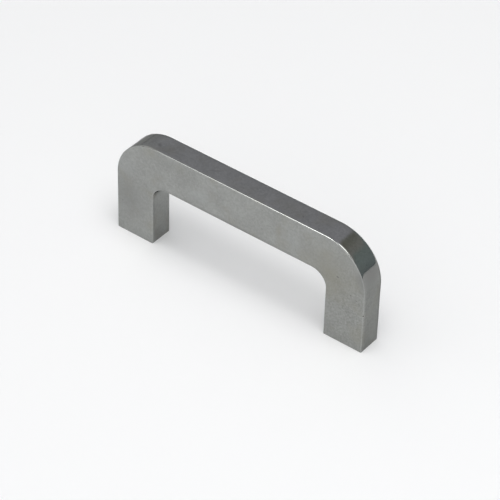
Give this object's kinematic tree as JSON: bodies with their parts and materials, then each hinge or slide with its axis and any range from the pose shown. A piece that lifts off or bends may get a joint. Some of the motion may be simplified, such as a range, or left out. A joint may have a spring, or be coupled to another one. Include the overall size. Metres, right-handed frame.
{
  "type": "cabinet pull",
  "caption": "Bridge-shaped cabinet pull in polished metal: a flat bar with round shoulders on square legs, with a blind tapped hole in each foot for a screw through the door.",
  "frame": {"origin": "midway between the two screw holes, on the plane of the feet, which is the cabinet's face", "axes": "+X along the bar, +Y from the front flat face to the back flat face, +Z away from the cabinet"},
  "size_m": [0.0896, 0.008, 0.0353],
  "materials": {
    "polished_metal": "polished"
  },
  "bodies": {
    "root": {"pull": "polished_metal"}
  },
  "joints": []
}
